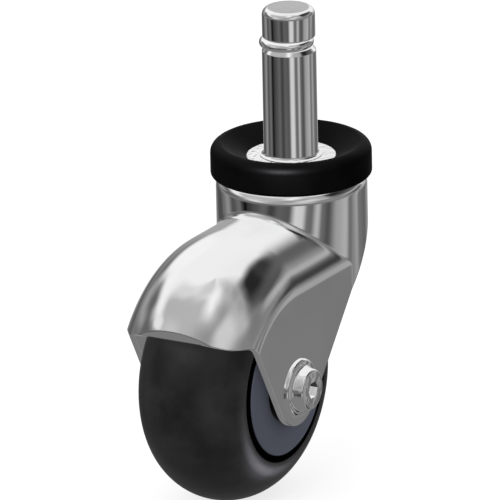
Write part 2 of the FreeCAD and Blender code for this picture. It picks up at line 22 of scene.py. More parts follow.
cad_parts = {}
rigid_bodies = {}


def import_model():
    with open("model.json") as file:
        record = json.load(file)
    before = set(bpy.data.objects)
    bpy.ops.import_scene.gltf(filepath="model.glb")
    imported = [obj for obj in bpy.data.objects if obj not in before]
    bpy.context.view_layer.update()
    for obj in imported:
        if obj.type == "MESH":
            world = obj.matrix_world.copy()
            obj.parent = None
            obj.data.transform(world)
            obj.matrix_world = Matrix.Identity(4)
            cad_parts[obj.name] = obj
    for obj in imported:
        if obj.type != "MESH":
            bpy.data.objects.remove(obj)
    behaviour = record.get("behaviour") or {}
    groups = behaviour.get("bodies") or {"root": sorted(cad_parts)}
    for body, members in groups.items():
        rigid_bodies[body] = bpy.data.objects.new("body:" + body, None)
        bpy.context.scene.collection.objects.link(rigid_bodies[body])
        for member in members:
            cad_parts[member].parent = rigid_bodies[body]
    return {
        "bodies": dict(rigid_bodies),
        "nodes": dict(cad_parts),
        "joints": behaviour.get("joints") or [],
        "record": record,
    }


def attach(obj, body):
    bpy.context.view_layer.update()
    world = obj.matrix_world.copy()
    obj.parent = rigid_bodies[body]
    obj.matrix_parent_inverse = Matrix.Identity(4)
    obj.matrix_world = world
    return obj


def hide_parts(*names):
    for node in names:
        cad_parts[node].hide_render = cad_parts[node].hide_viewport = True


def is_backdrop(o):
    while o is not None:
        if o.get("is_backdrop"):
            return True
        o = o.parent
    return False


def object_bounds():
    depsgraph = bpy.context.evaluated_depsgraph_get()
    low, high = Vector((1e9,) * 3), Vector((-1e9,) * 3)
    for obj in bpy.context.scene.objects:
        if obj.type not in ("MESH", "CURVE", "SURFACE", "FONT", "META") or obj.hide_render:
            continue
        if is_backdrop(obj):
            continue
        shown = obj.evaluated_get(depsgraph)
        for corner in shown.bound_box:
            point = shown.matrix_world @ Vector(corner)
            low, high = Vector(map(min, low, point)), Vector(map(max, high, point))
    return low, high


LOG = logging.getLogger("castor")
MM = 0.001
UP = (0.0, 0.0, 1.0)
DOWN = (0.0, 0.0, -1.0)
# The axle runs along Y at this X and Z.
AXLE_X = -25.0
AXLE_Z = -40.4
# How far apart two points may be, in millimetres, and still be welded.
WELD = 1e-4


class Body(Enum):
    """The three bodies that move against each other."""

    STEM = "stem_body"
    HOOD = "hood_body"
    WHEEL = "wheel_body"


class Slot(Enum):
    """The record's material slots."""

    STEM = "chrome_stem"
    WIRE = "spring_wire"
    WASHER = "zinc_washer"
    RACE = "race_steel"
    HOOD = "chrome_hood"
    RUBBER = "black_rubber"
    BALL = "ball_steel"
    AXLE = "chrome_axle"
    CORE = "core_plastic"
    TYRE = "soft_tyre"
    BUSH = "bush_nylon"


class Lay(Enum):
    """Which way a turned piece's own axis points on the castor."""

    UPRIGHT = "up the swivel axis"
    LEFT = "out along the axle, towards +Y"
    RIGHT = "out along the axle, towards -Y"


def lay_matrix(lay: Lay) -> Matrix:
    """Place of a piece that was turned about its own upright axis.

    Args:
        lay: The way its axis points.

    Returns:
        The matrix, in millimetres.
    """
    if lay is Lay.UPRIGHT:
        return Matrix.Identity(4)
    angle = math.radians(-90.0 if lay is Lay.LEFT else 90.0)
    return Matrix.Translation((AXLE_X, 0.0, AXLE_Z)) @ Matrix.Rotation(angle, 4, "X")


# ---------------------------------------------------------------- node graphs


class Graph:
    """A small helper that builds one node tree and links as it goes."""

    def __init__(self, tree: bpy.types.NodeTree) -> None:
        """Keep the tree and clear it."""
        self.tree = tree
        tree.nodes.clear()

    def add(self, kind: str, **settings: object) -> bpy.types.Node:
        """Add a node and set its plain properties.

        Args:
            kind: Blender's node type.
            **settings: Properties of the node.

        Returns:
            The new node.
        """
        node = self.tree.nodes.new(kind)
        for key, setting in settings.items():
            setattr(node, key, setting)
        return node

    def feed(self, socket: bpy.types.NodeSocket, source: object) -> None:
        """Link a socket to a source socket, or set it to a plain value.

        Args:
            socket: The input that is fed.
            source: A socket or a plain value.
        """
        if isinstance(source, bpy.types.NodeSocket):
            self.tree.links.new(source, socket)
        else:
            socket.default_value = source

    def maths(self, operation: str, first: object, second: object = 0.0,
              third: object = 0.0, clamp: bool = False) -> bpy.types.NodeSocket:
        """Add a Math node.

        Args:
            operation: The node's operation.
            first: Its first input, a socket or a number.
            second: Its second input.
            third: Its third input.
            clamp: Whether the result is held between 0 and 1.

        Returns:
            The result's socket.
        """
        node = self.add("ShaderNodeMath", operation=operation, use_clamp=clamp)
        self.feed(node.inputs[0], first)
        self.feed(node.inputs[1], second)
        self.feed(node.inputs[2], third)
        return node.outputs[0]

    def dot(self, first: object, direction: Sequence[float]) -> bpy.types.NodeSocket:
        """Measure how far a vector goes in a fixed direction.

        Args:
            first: The vector's socket.
            direction: The direction.

        Returns:
            The dot product's socket.
        """
        node = self.add("ShaderNodeVectorMath", operation="DOT_PRODUCT")
        self.feed(node.inputs[0], first)
        node.inputs[1].default_value = tuple(direction)
        return node.outputs["Value"]

    def smooth(self, source: object, low: float, high: float, start: float = 0.0,
               end: float = 1.0) -> bpy.types.NodeSocket:
        """Map a value from one range to another with a soft step.

        Args:
            source: The value.
            low: Where the step starts.
            high: Where it ends.
            start: The result below the step.
            end: The result above it.

        Returns:
            The result's socket.
        """
        node = self.add("ShaderNodeMapRange", interpolation_type="SMOOTHSTEP")
        self.feed(node.inputs["Value"], source)
        node.inputs["From Min"].default_value = low
        node.inputs["From Max"].default_value = high
        node.inputs["To Min"].default_value = start
        node.inputs["To Max"].default_value = end
        return node.outputs["Result"]

    def mix(self, factor: object, first: object,
            second: object) -> bpy.types.NodeSocket:
        """Mix two colours.

        Args:
            factor: The share of the second.
            first: The first colour, a socket or four numbers.
            second: The second colour.

        Returns:
            The mixed colour's socket.
        """
        node = self.add("ShaderNodeMix", data_type="RGBA")
        self.feed(node.inputs[0], factor)
        self.feed(node.inputs[6], first)
        self.feed(node.inputs[7], second)
        return node.outputs[2]

    def blend_values(self, factor: object, first: object,
                     second: object) -> bpy.types.NodeSocket:
        """Mix two numbers.

        Args:
            factor: The share of the second.
            first: The first number, a socket or a plain one.
            second: The second number.

        Returns:
            The mixed number's socket.
        """
        node = self.add("ShaderNodeMix", data_type="FLOAT")
        self.feed(node.inputs[0], factor)
        self.feed(node.inputs[2], first)
        self.feed(node.inputs[3], second)
        return node.outputs[0]

    def noise(self, scale: float, detail: float = 3.0, roughness: float = 0.5,
              stretch: Sequence[float] = (1.0, 1.0, 1.0)) -> bpy.types.NodeSocket:
        """Add a noise pattern that stays with the object.

        Args:
            scale: How fine the pattern is, per metre.
            detail: How many finer layers it has.
            roughness: How strong those are.
            stretch: Its scale along X, Y and Z.

        Returns:
            The pattern's value socket.
        """
        place = self.add("ShaderNodeTexCoord")
        scaling = self.add("ShaderNodeMapping")
        scaling.inputs["Scale"].default_value = tuple(stretch)
        self.feed(scaling.inputs["Vector"], place.outputs["Object"])
        node = self.add("ShaderNodeTexNoise")
        self.feed(node.inputs["Vector"], scaling.outputs["Vector"])
        node.inputs["Scale"].default_value = scale
        node.inputs["Detail"].default_value = detail
        node.inputs["Roughness"].default_value = roughness
        return node.outputs["Fac"]

    def height(self) -> bpy.types.NodeSocket:
        """Return the height of a point on the object, in metres."""
        place = self.add("ShaderNodeTexCoord")
        return self.dot(place.outputs["Object"], UP)

    def axle_distance(self) -> bpy.types.NodeSocket:
        """Measure how far a point lies from the axle's line.

        Returns:
            The distance's socket, in metres.
        """
        place = self.add("ShaderNodeTexCoord")
        moved = self.add("ShaderNodeMapping")
        moved.inputs["Location"].default_value = (-AXLE_X * MM, 0.0, -AXLE_Z * MM)
        moved.inputs["Scale"].default_value = (1.0, 0.0, 1.0)
        self.feed(moved.inputs["Vector"], place.outputs["Object"])
        reach = self.add("ShaderNodeVectorMath", operation="LENGTH")
        self.feed(reach.inputs[0], moved.outputs["Vector"])
        return reach.outputs["Value"]

    def bump(self, height: object, strength: float,
             distance: float) -> bpy.types.NodeSocket:
        """Turn a height into a bumped normal.

        Args:
            height: The height's socket.
            strength: The share of the bump that shows.
            distance: How deep it is, in metres.

        Returns:
            The normal's socket.
        """
        node = self.add("ShaderNodeBump")
        node.inputs["Strength"].default_value = strength
        node.inputs["Distance"].default_value = distance
        self.feed(node.inputs["Height"], height)
        return node.outputs["Normal"]

    def show(self, shader: bpy.types.NodeSocket,
             kind: str = "ShaderNodeOutputMaterial") -> None:
        """Send a shader to the tree's output, a material's or the world's."""
        out = self.add(kind)
        self.feed(out.inputs["Surface"], shader)


def new_material(name: str) -> tuple[bpy.types.Material, Graph]:
    """Start a material with an empty node tree.

    Args:
        name: The material's name.

    Returns:
        The material and its graph.
    """
    material = bpy.data.materials.new(name)
    material.use_nodes = True
    return material, Graph(material.node_tree)


# ------------------------------------------------------------------- finishes


def grey(level: float) -> tuple[float, float, float, float]:
    """Return a neutral colour."""
    return (level, level, level, 1.0)


@dataclass(frozen=True)
class Plating:
    """Bright plated or polished metal, with faint waviness and handling haze.

    Sizes on the castor, such as end_height, soft_edge, lip_low and socket_shade_radius,
    are in millimetres, and 0 leaves their feature out. Painted shade darkens the
    stem's rougher top end, a line under the hood's lip and the downward walls of
    the axle's sockets. A pattern's size is how fine it is, per metre.
    """

    name: str
    tint: tuple[float, float, float] = (0.9, 0.9, 0.905)
    roughness: float = 0.085
    haze: float = 0.05
    wave: float = 0.02
    wave_size: float = 90.0
    wave_depth: float = 0.001
    dull_share: float = 0.94
    patch_size: float = 55.0
    haze_size: float = 420.0
    end_height: float = 0.0
    end_shade_tint: float = 0.48
    end_roughness: float = 0.22
    soft_edge: float = 0.0
    lip_low: float = 0.0
    lip_shade_tone: float = 0.1
    socket_shade_radius: float = 0.0
    socket_shade_tone: float = 0.12

    def build(self) -> bpy.types.Material:
        """Build the material.

        Returns:
            The finished material.
        """
        material, graph = new_material(self.name)
        shader = graph.add("ShaderNodeBsdfPrincipled")
        shader.inputs["Metallic"].default_value = 1.0
        light = (*self.tint, 1.0)
        dull = (*(part * self.dull_share for part in self.tint), 1.0)
        patches = graph.smooth(graph.noise(self.patch_size, 4.0), 0.35, 0.7)
        colour = graph.mix(patches, light, dull)
        fine = graph.noise(self.haze_size, 4.0, 0.6)
        rough = graph.blend_values(
            graph.maths("MULTIPLY", patches, fine), self.roughness,
            self.roughness + self.haze)
        # The rounded top end is rougher, and painted shade darkens its colour so that it
        # mirrors the room dimly.
        if self.end_height > 0.0:
            end = graph.smooth(graph.height(), (self.end_height - 0.05) * MM,
                               (self.end_height - 0.01) * MM)
            end_shade = graph.mix(graph.noise(700.0, 3.0), grey(self.end_shade_tint),
                             grey(self.end_shade_tint * 0.8))
            colour = graph.mix(end, colour, end_shade)
            rough = graph.blend_values(end, rough, self.end_roughness)
        # Painted shade on the downward walls of the axle's sockets.
        if self.socket_shade_radius > 0.0:
            colour = graph.mix(self.socket_shade(graph), colour, grey(self.socket_shade_tone))
        waves = graph.noise(self.wave_size, 1.0, 0.4)
        skin = graph.bump(waves, self.wave, self.wave_depth)
        if self.soft_edge > 0.0:
            eased = graph.add("ShaderNodeBevel", samples=8)
            eased.inputs["Radius"].default_value = self.soft_edge * MM
            graph.feed(skin.node.inputs["Normal"], eased.outputs["Normal"])
            # Painted shade: a thin dark line along the rounded edge under the hood's
            # folded lip.
            if self.lip_low < 0.0:
                line = self.lip_shade_line(graph, eased.outputs["Normal"])
                colour = graph.mix(line, colour, grey(self.lip_shade_tone))
        graph.feed(shader.inputs["Base Color"], colour)
        graph.feed(shader.inputs["Roughness"], rough)
        graph.feed(shader.inputs["Normal"], skin)
        graph.show(shader.outputs["BSDF"])
        return material

    def lip_shade_line(self, graph: Graph,
                 eased: bpy.types.NodeSocket) -> bpy.types.NodeSocket:
        """Find the thin line of painted shade under the edge of the hood's folded lip.

        Args:
            graph: The material's graph.
            eased: The normal that the softened edges have.

        Returns:
            1 on that line and 0 elsewhere.
        """
        skin = graph.add("ShaderNodeNewGeometry")
        turn = graph.add("ShaderNodeVectorMath", operation="DOT_PRODUCT")
        graph.feed(turn.inputs[0], eased)
        graph.feed(turn.inputs[1], skin.outputs["True Normal"])
        edge = graph.smooth(turn.outputs["Value"], 0.93, 0.998, 1.0, 0.0)
        down = graph.smooth(graph.dot(skin.outputs["True Normal"], DOWN), 0.3, 0.45)
        high = graph.smooth(graph.height(), (self.lip_low - 0.3) * MM,
                            (self.lip_low + 0.3) * MM)
        return graph.maths("MULTIPLY", graph.maths("MULTIPLY", edge, down), high)

    def socket_shade(self, graph: Graph) -> bpy.types.NodeSocket:
        """Find the downward walls of the sockets in the axle's two ends, where shade is
        painted.

        Args:
            graph: The material's graph.

        Returns:
            1 where painted shade darkens them, and 0 elsewhere.
        """
        inside = graph.smooth(graph.axle_distance(), (self.socket_shade_radius - 0.05) * MM,
                              (self.socket_shade_radius + 0.05) * MM, 1.0, 0.0)
        skin = graph.add("ShaderNodeNewGeometry")
        down = graph.smooth(graph.dot(skin.outputs["True Normal"], DOWN), 0.2, 0.4)
        return graph.maths("MULTIPLY", inside, down)


@dataclass(frozen=True)
class TurnedSteel:
    """Pressed or turned steel with fine rings round the swivel axis."""

    name: str
    tint: tuple[float, float, float] = (0.56, 0.56, 0.56)
    dull_share: float = 0.86
    roughness: float = 0.3
    ring_waves: float = 9000.0
    ring_bump: float = 0.04
    ring_depth: float = 0.0001
    patch_size: float = 180.0

    def build(self) -> bpy.types.Material:
        """Build the material.

        Returns:
            The finished material.
        """
        material, graph = new_material(self.name)
        shader = graph.add("ShaderNodeBsdfPrincipled")
        shader.inputs["Metallic"].default_value = 1.0
        place = graph.add("ShaderNodeTexCoord")
        parts = graph.add("ShaderNodeSeparateXYZ")
        graph.feed(parts.inputs[0], place.outputs["Object"])
        radius = graph.maths("SQRT", graph.maths(
            "ADD", graph.maths("MULTIPLY", parts.outputs["X"], parts.outputs["X"]),
            graph.maths("MULTIPLY", parts.outputs["Y"], parts.outputs["Y"])))
        rings = graph.maths("SINE", graph.maths("MULTIPLY", radius, self.ring_waves))
        patches = graph.noise(self.patch_size, 4.0, 0.6)
        light = (*self.tint, 1.0)
        dull = (*(part * self.dull_share for part in self.tint), 1.0)
        graph.feed(shader.inputs["Base Color"], graph.mix(patches, light, dull))
        graph.feed(shader.inputs["Roughness"], graph.blend_values(
            patches, self.roughness * 0.85, self.roughness * 1.2))
        graph.feed(shader.inputs["Normal"],
                   graph.bump(rings, self.ring_bump, self.ring_depth))
        graph.show(shader.outputs["BSDF"])
        return material


@dataclass(frozen=True)
class Moulding:
    """Moulded rubber or plastic: a dark tone with mottling, grain and a soft sheen.

    The rim is what lies within rim_radius of the axle, in millimetres, or outside
    it, and 0 leaves it out; painted shade makes it near black and matt there, by
    the groove between tyre and core. Dust and sheen is the lighter tone painted on
    faces that look up: partly dust that settles there, partly a painted sheen. A
    pattern's size is how fine it is, per metre.
    """

    name: str
    tone: tuple[float, float, float]
    pale: tuple[float, float, float]
    roughness: float = 0.5
    specular: float = 0.4
    mottle_size: float = 60.0
    grain: float = 0.05
    grain_size: float = 2600.0
    grain_depth: float = 0.0002
    dust_and_sheen: float = 0.0
    dust_and_sheen_size: float = 160.0
    rim_radius: float = 0.0
    rim_fade: float = 0.06
    rim_outside: bool = False
    rim_shade_tone: float = 0.0012
    rim_matt: float = 1.0

    def build(self) -> bpy.types.Material:
        """Build the material.

        Returns:
            The finished material.
        """
        material, graph = new_material(self.name)
        shader = graph.add("ShaderNodeBsdfPrincipled")
        shader.inputs["Specular IOR Level"].default_value = self.specular
        mottle = graph.smooth(graph.noise(self.mottle_size, 5.0, 0.55), 0.32, 0.72)
        colour = graph.mix(mottle, (*self.tone, 1.0), (*self.pale, 1.0))
        rough = graph.blend_values(mottle, self.roughness * 0.9, self.roughness * 1.15)
        # Painted shade: the rim, by the groove between tyre and core, is made near black,
        # matt and without sheen.
        if self.rim_radius > 0.0:
            rim = self.rim_shade_mask(graph)
            colour = graph.mix(rim, colour, grey(self.rim_shade_tone))
            rough = graph.blend_values(rim, rough, self.rim_matt)
            graph.feed(shader.inputs["Specular IOR Level"], graph.blend_values(
                rim, self.specular, self.specular * (1.0 - self.rim_matt)))
        # Dust and painted sheen: faces that look up get a lighter tone, partly dust that
        # settles there and partly a painted sheen.
        if self.dust_and_sheen > 0.0:
            skin = graph.add("ShaderNodeNewGeometry")
            up = graph.smooth(graph.dot(skin.outputs["Normal"], UP), 0.3, 0.9)
            patches = graph.smooth(graph.noise(self.dust_and_sheen_size, 4.0, 0.6),
                                   0.3, 0.7, 0.45, 1.0)
            colour = graph.mix(graph.maths("MULTIPLY", up, patches), colour,
                               grey(self.dust_and_sheen))
        graph.feed(shader.inputs["Base Color"], colour)
        graph.feed(shader.inputs["Roughness"], rough)
        grain = graph.noise(self.grain_size, 2.0, 0.5)
        graph.feed(shader.inputs["Normal"],
                   graph.bump(grain, self.grain, self.grain_depth))
        graph.show(shader.outputs["BSDF"])
        return material

    def rim_shade_mask(self, graph: Graph) -> bpy.types.NodeSocket:
        """Find the rim, where shade is painted: what lies nearer the axle than its radius,
        or outside it.

        Args:
            graph: The material's graph.

        Returns:
            1 on the rim and 0 elsewhere.
        """
        near = float(not self.rim_outside)
        return graph.smooth(
            graph.axle_distance(), (self.rim_radius - self.rim_fade) * MM,
            (self.rim_radius + self.rim_fade) * MM, near, 1.0 - near)


@dataclass
class Finishes:
    """Every finish of the castor, built once and handed out by slot."""

    made: dict[Slot, bpy.types.Material] = field(default_factory=dict)

    def build(self) -> None:
        """Build all the materials."""
        plans = {
            Slot.STEM: Plating("stem_chrome", roughness=0.02, haze=0.03, wave=0.008,
                               end_height=31.5),
            Slot.WIRE: Plating("wire_bright", tint=(0.93, 0.93, 0.93), roughness=0.07),
            Slot.WASHER: Plating("washer_zinc", tint=(0.97, 0.97, 0.97),
                                 roughness=0.2, haze=0.3, wave=0.35,
                                 wave_size=900.0),
            Slot.RACE: TurnedSteel("race_pressed_steel"),
            Slot.HOOD: Plating("hood_chrome", roughness=0.045, haze=0.05, wave=0.03,
                               wave_size=70.0, soft_edge=0.4, lip_low=-26.0),
            Slot.RUBBER: Moulding("ring_rubber", (0.0016, 0.0016, 0.0016),
                                  (0.0035, 0.0035, 0.0035), roughness=0.45,
                                  specular=0.014, mottle_size=90.0, dust_and_sheen=0.006),
            Slot.BALL: Plating("ball_polished", tint=(0.78, 0.78, 0.78),
                               roughness=0.05),
            # The axle's sockets get painted shade on their downward walls.
            Slot.AXLE: Plating("axle_bright", roughness=0.06, haze=0.05, wave=0.24,
                               wave_size=520.0, socket_shade_radius=2.0),
            # The core's outer rim and the tyre's inner rim carry painted shade where they
            # meet in the groove.
            Slot.CORE: Moulding("core_blue_grey", (0.106, 0.117, 0.155),
                                (0.122, 0.134, 0.176), roughness=0.5,
                                specular=0.2, grain=0.06, grain_size=3200.0,
                                rim_radius=14.47, rim_outside=True),
            Slot.TYRE: Moulding("tyre_rubber", (0.009, 0.009, 0.0095),
                                (0.027, 0.027, 0.0275), roughness=0.39,
                                specular=0.42, mottle_size=105.0, rim_radius=15.95),
            Slot.BUSH: Moulding("bush_nylon", (0.002, 0.002, 0.002),
                                (0.004, 0.004, 0.004), roughness=0.4,
                                specular=0.05),
        }
        for slot, plan in plans.items():
            self.made[slot] = plan.build()

    def dress(self, piece: bpy.types.Object, slot: Slot) -> None:
        """Give a piece the finish of a slot."""
        piece.data.materials.clear()
        piece.data.materials.append(self.made[slot])


# ------------------------------------------------------------- shaping pieces


def finish_mesh(bm: bmesh.types.BMesh, name: str, place: Matrix,
                crease: float = 24.0) -> bpy.types.Object:
    """Close off a bmesh as a smooth-shaded object with its place in its mesh.

    Args:
        bm: The shape, in millimetres. It is freed.
        name: The piece's name.
        place: Where it goes, in millimetres.
        crease: The angle in degrees above which an edge stays sharp.

    Returns:
        The new object.
    """
    bmesh.ops.remove_doubles(bm, verts=bm.verts[:], dist=WELD)
    bmesh.ops.recalc_face_normals(bm, faces=bm.faces[:])
    bmesh.ops.transform(bm, matrix=Matrix.Scale(MM, 4) @ place, verts=bm.verts[:])
    limit = math.radians(crease)
    for face in bm.faces:
        face.smooth = True
    for edge in bm.edges:
        edge.smooth = len(edge.link_faces) == 2 and edge.calc_face_angle(0.0) < limit
    mesh = bpy.data.meshes.new(name)
    bm.to_mesh(mesh)
    bm.free()
    piece = bpy.data.objects.new(name, mesh)
    bpy.context.scene.collection.objects.link(piece)
    return piece


@dataclass(frozen=True)
class Corner:
    """One corner of a turned outline: its radius, height and rounding."""

    radius: float
    height: float
    rounding: float = 0.0


@dataclass
class TurnedPiece:
    """A piece turned on a lathe from a closed or axis-ended outline."""

    name: str
    corners: Sequence[Corner]
    lay: Lay = Lay.UPRIGHT
    steps: int = 192
    arc_steps: int = 8
    crease: float = 24.0
    open_end: bool = False

    def outline(self, bm: bmesh.types.BMesh) -> None:
        """Draw the half section as edges, with its corners rounded.

        Args:
            bm: An empty shape, in millimetres.
        """
        points = [bm.verts.new((c.radius, 0.0, c.height)) for c in self.corners]
        face = bm.faces.new(points)
        count = len(points)
        places = [Vector((c.radius, 0.0, c.height)) for c in self.corners]
        for i, corner in enumerate(self.corners):
            if corner.rounding <= 0.0:
                continue
            here = places[i]
            back = (places[i - 1] - here).normalized()
            ahead = (places[(i + 1) % count] - here).normalized()
            half = math.acos(max(-1.0, min(1.0, back.dot(ahead)))) / 2.0
            bmesh.ops.bevel(
                bm, geom=[points[i]], offset=corner.rounding / math.tan(half),
                offset_type="OFFSET", segments=self.arc_steps, profile=0.5,
                affect="VERTICES", material=-1, clamp_overlap=False)
        bmesh.ops.delete(bm, geom=bm.faces[:], context="FACES_ONLY")
        ends = (places[0], places[-1])
        same = 1e-6
        unwanted = [e for e in bm.edges if all(abs(v.co.x) < same for v in e.verts)
                    or self.open_end and all(
                        any((v.co - end).length < same for v in e.verts)
                        for end in ends)]
        bmesh.ops.delete(bm, geom=unwanted, context="EDGES")

    def turn(self) -> bmesh.types.BMesh:
        """Spin the outline about its axis.

        Returns:
            The turned shape, before it is placed.
        """
        bm = bmesh.new()
        self.outline(bm)
        bmesh.ops.spin(
            bm, geom=bm.verts[:] + bm.edges[:], cent=(0.0, 0.0, 0.0),
            axis=(0.0, 0.0, 1.0), angle=math.tau, steps=self.steps, use_merge=True)
        bmesh.ops.remove_doubles(bm, verts=bm.verts[:], dist=WELD)
        bmesh.ops.dissolve_degenerate(bm, edges=bm.edges[:], dist=1e-5)
        return bm

    def build(self) -> bpy.types.Object:
        """Turn the piece and return its object."""
        return finish_mesh(self.turn(), self.name, lay_matrix(self.lay), self.crease)


def smooth_copy(node: bpy.types.Object, name: str,
                crease: float = 24.0) -> bpy.types.Object:
    """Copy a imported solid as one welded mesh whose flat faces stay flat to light.

    Args:
        node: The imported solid.
        name: The copy's name.
        crease: The angle in degrees above which an edge stays sharp.

    Returns:
        The copy.
    """
    bm = bmesh.new()
    bm.from_mesh(node.data)
    bmesh.ops.transform(bm, matrix=Matrix.Scale(1.0 / MM, 4), verts=bm.verts[:])
    piece = finish_mesh(bm, name, Matrix.Identity(4), crease)
    level_flats(piece.data)
    return piece


def level_flats(mesh: bpy.types.Mesh, square: float = 0.99999,
                close: float = 0.94) -> None:
    """Give every corner that meets a plate square to Y the plate's normal.

    Args:
        mesh: The mesh, whose corner normals are changed in place.
        square: The least share of Y in a plate's normal.
        close: How near a corner's normal has to be to the plate's, as a cosine.
    """
    normals = [Vector(corner.vector) for corner in mesh.corner_normals]
    plates: dict[int, Vector] = {}
    for face in mesh.polygons:
        if abs(face.normal.y) > square:
            plates.update({index: face.normal.copy() for index in face.vertices})
    for loop in mesh.loops:
        plate = plates.get(loop.vertex_index)
        if plate is not None and plate.dot(normals[loop.index]) > close:
            normals[loop.index] = plate
    mesh.normals_split_custom_set([tuple(normal) for normal in normals])


@dataclass
class SubAssembly:
    """What the castor's sub-assemblies share: the frame, the finishes, their body."""

    frame: dict
    finishes: Finishes
    body: Body

    def fit(self, piece: bpy.types.Object, slot: Slot, *nodes: str) -> None:
        """Dress a piece and put it in its nodes' place on the body.

        Args:
            piece: The finished piece.
            slot: The finish it takes.
            *nodes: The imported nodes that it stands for.
        """
        piece.visible_glossy = False
        self.finishes.dress(piece, slot)
        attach(piece, self.body.value)
        if nodes:
            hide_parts(*nodes)
        LOG.info("%s: %d faces, finish %s", piece.name, len(piece.data.polygons),
                 slot.value)

    def keep(self, node: str, slot: Slot) -> None:
        """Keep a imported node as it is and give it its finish.

        Args:
            node: The node's name.
            slot: The finish it takes.
        """
        piece = self.frame["nodes"][node]
        piece.visible_glossy = False
        self.finishes.dress(piece, slot)
        LOG.info("%s: packed solid, finish %s", node, slot.value)


@dataclass
class StemAssembly(SubAssembly):
    """The friction stem with its grip ring, washers and the races on it."""

    body: Body = Body.STEM
    shank_radius: float = 5.556
    head_radius: float = 5.45
    top: float = 31.5
    groove: tuple[float, float] = (23.2, 25.3)
    groove_radius: float = 3.1
    wire_radius: float = 0.95
    ring_radius: float = 4.68
    ring_gap: float = 46.0
    ring_turn: float = 50.0
    ring_shift: tuple[float, float] = (-0.25, 0.43)
    neck_radius: float = 4.9
    neck_length: float = 0.75
    foot_radius: float = 6.4
    foot_height: float = 0.2
    tenon_radius: float = 3.98
    rivet_radius: float = 5.6
    rivet_span: tuple[float, float] = (-14.0, -12.43)
    washer_bore: float = 4.0
    washer_radius: float = 9.15
    washer_thickness: float = 1.2

    def stem(self) -> bpy.types.Object:
        """Turn the stem, from the riveted end to the rounded one.

        Returns:
            The finished stem.
        """
        low, high = self.groove
        tail, seat = self.rivet_span
        corners = [
            Corner(0.0, tail), Corner(self.rivet_radius, tail, 1.25),
            Corner(self.rivet_radius, seat), Corner(self.tenon_radius, seat),
            Corner(self.tenon_radius, 0.0), Corner(self.foot_radius, 0.0),
            Corner(self.foot_radius, self.foot_height),
            Corner(self.shank_radius, self.foot_height, 0.7),
            Corner(self.shank_radius, low - self.neck_length, 0.12),
            Corner(self.neck_radius, low),
            Corner(self.groove_radius, low), Corner(self.groove_radius, high),
            Corner(self.head_radius, high, 0.35),
            Corner(self.head_radius, self.top, 1.45), Corner(0.0, self.top)]
        return TurnedPiece("stem_turned", corners, steps=256).build()

    def grip_ring(self) -> bpy.types.Object:
        """Bend the split ring from round wire and cap its two ends.

        Returns:
            The finished ring.
        """
        bm = bmesh.new()
        bmesh.ops.create_circle(
            bm, cap_ends=False, segments=28, radius=self.wire_radius,
            matrix=Matrix.Translation((self.ring_radius, 0.0, 0.0))
            @ Matrix.Rotation(math.radians(90.0), 4, "X"))
        start = bm.edges[:]
        bmesh.ops.contextual_create(bm, geom=start)
        turned = bmesh.ops.spin(
            bm, geom=start, cent=(0.0, 0.0, 0.0), axis=(0.0, 0.0, 1.0),
            angle=math.radians(360.0 - self.ring_gap), steps=150)
        last = [e for e in turned["geom_last"] if isinstance(e, bmesh.types.BMEdge)]
        bmesh.ops.contextual_create(bm, geom=last)
        height = self.groove[0] + self.wire_radius + 0.02
        place = (Matrix.Translation((*self.ring_shift, height))
                 @ Matrix.Rotation(math.radians(self.ring_turn), 4, "Z"))
        return finish_mesh(bm, "grip_ring_bent", place, 40.0)

    def top_washer(self) -> bpy.types.Object:
        """Turn the bright washer round the stem's foot."""
        inner, outer, low = self.washer_bore, self.washer_radius, -self.washer_thickness
        return TurnedPiece("top_washer_turned", [
            Corner(inner, low), Corner(outer, low, 0.2), Corner(outer, 0.0, 0.2),
            Corner(inner, 0.0)]).build()

    def build(self) -> None:
        """Build and fit the pieces on the stem's body."""
        self.fit(self.stem(), Slot.STEM, "stem")
        self.fit(self.grip_ring(), Slot.WIRE, "grip_ring")
        self.fit(self.top_washer(), Slot.WASHER, "top_washer")
        for node in ("upper_stem_race", "lower_stem_race", "retaining_washer"):
            self.keep(node, Slot.RACE)


@dataclass
class HoodAssembly(SubAssembly):
    """The drawn hood, the rubber dust ring and the races and balls it holds."""

    body: Body = Body.HOOD
    ring_bore: float = 9.25
    ring_step: float = 11.4
    ring_outer: float = 16.53
    ring_crest: float = 14.3
    ring_web: float = 0.9
    ring_span: tuple[float, float] = (-4.05, 2.75)

    def hood(self) -> bpy.types.Object:
        """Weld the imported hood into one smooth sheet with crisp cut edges."""
        return smooth_copy(self.frame["nodes"]["hood"], "hood_drawn", 28.0)

    def dust_ring(self) -> bpy.types.Object:
        """Turn the dished rubber ring.

        Returns:
            The finished ring.
        """
        low, high = self.ring_span
        return TurnedPiece("dust_ring_turned", [
            Corner(self.ring_bore, -self.ring_web),
            Corner(self.ring_step, -self.ring_web), Corner(self.ring_step, low),
            Corner(self.ring_outer, low, 0.8), Corner(self.ring_outer, high, 2.1),
            Corner(self.ring_crest, high, 0.4), Corner(self.ring_bore, 0.0, 0.15)],
            steps=224).build()

    def build(self) -> None:
        """Build and fit the pieces on the hood's body."""
        self.fit(self.hood(), Slot.HOOD, "hood")
        self.fit(self.dust_ring(), Slot.RUBBER, "dust_ring")
        for node in ("upper_hood_race", "lower_hood_race"):
            self.keep(node, Slot.RACE)
        for node in ("upper_balls", "lower_balls"):
            self.keep(node, Slot.BALL)


